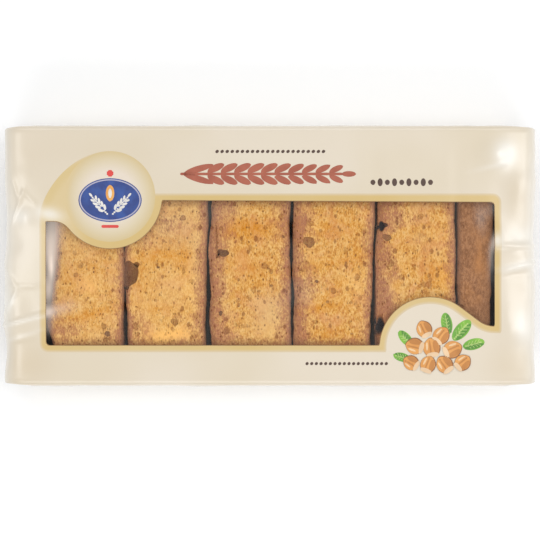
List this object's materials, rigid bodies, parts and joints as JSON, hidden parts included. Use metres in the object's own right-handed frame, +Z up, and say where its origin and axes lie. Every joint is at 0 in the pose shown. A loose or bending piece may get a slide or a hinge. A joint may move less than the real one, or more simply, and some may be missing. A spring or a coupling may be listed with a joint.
{
  "type": "sealed pack of cake rusks",
  "caption": "Sealed flow-wrap pack of cake rusks, lying flat: printed cream film with a clear window, tucked ends with folded crimped seals, rusks side by side in a black tray",
  "frame": {"origin": "under the middle of the pack, on the surface that it lies on", "axes": "+X along the pack's length, with the rusk that stands on its edge at the +X end; +Y across the pack, towards its top as its print is read; +Z up, out of the window side"},
  "size_m": [0.266, 0.1296, 0.04],
  "materials": {
    "film": "glossy cream printed film with a clear window"
  },
  "bodies": {
    "root": {"rusk_pack": "film"}
  },
  "joints": []
}
